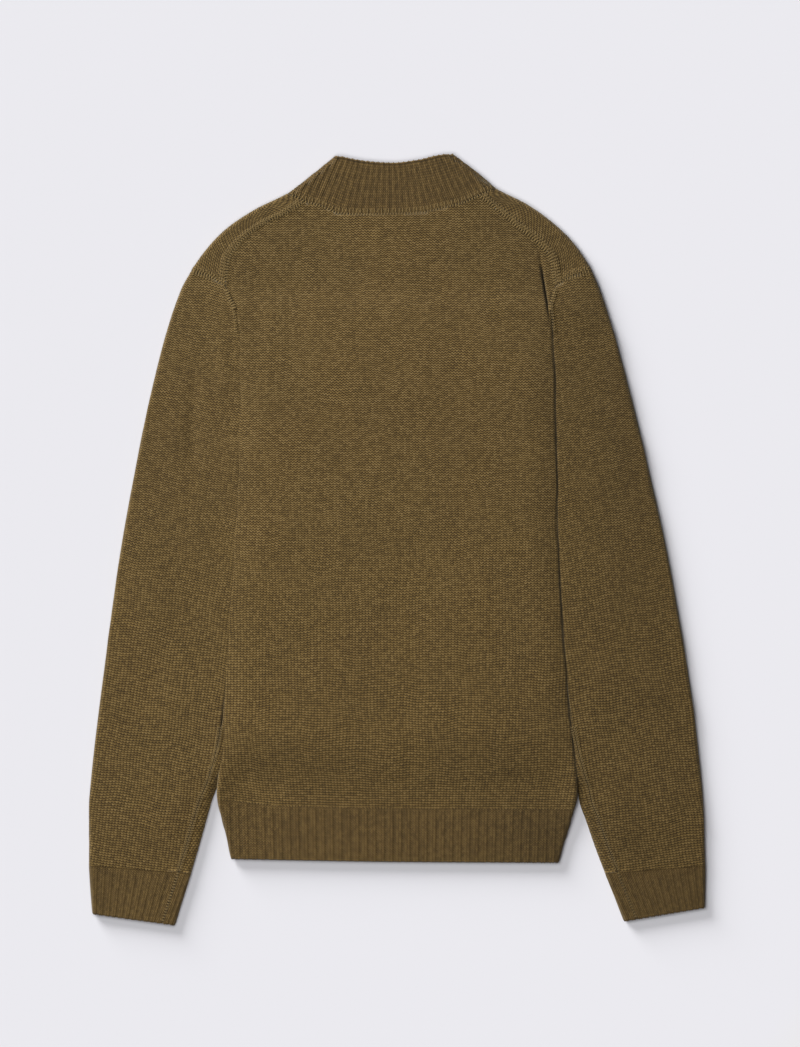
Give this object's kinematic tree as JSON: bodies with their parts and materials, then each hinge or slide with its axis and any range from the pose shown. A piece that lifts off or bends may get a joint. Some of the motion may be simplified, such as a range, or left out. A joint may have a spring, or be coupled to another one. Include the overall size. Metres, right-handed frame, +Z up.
{
  "type": "knit cardigan",
  "caption": "Plain knit cardigan with a ribbed stand collar, cuffs and hem, laid flat with its back up and its sleeves down along its sides.",
  "frame": {"origin": "middle of the box of the garment, at the surface that it lies on", "axes": "+Y towards the collar, +Z up, out of the back of the garment, +X to the wearer's right"},
  "size_m": [0.6186, 0.7758, 0.0121],
  "materials": {
    "stockinette": "matt olive brown wool knit, stockinette, with lighter and darker flecks",
    "rib": "matt olive brown wool knit, two by two rib"
  },
  "bodies": {
    "root": {"back": "stockinette", "front_left": "stockinette", "front_right": "stockinette", "sleeve_left": "stockinette", "sleeve_right": "stockinette", "cuff_left": "rib", "cuff_right": "rib", "hem_rib_back": "rib", "hem_rib_front_left": "rib", "hem_rib_front_right": "rib", "collar": "rib", "band_left": "rib", "band_right": "rib"}
  },
  "joints": []
}
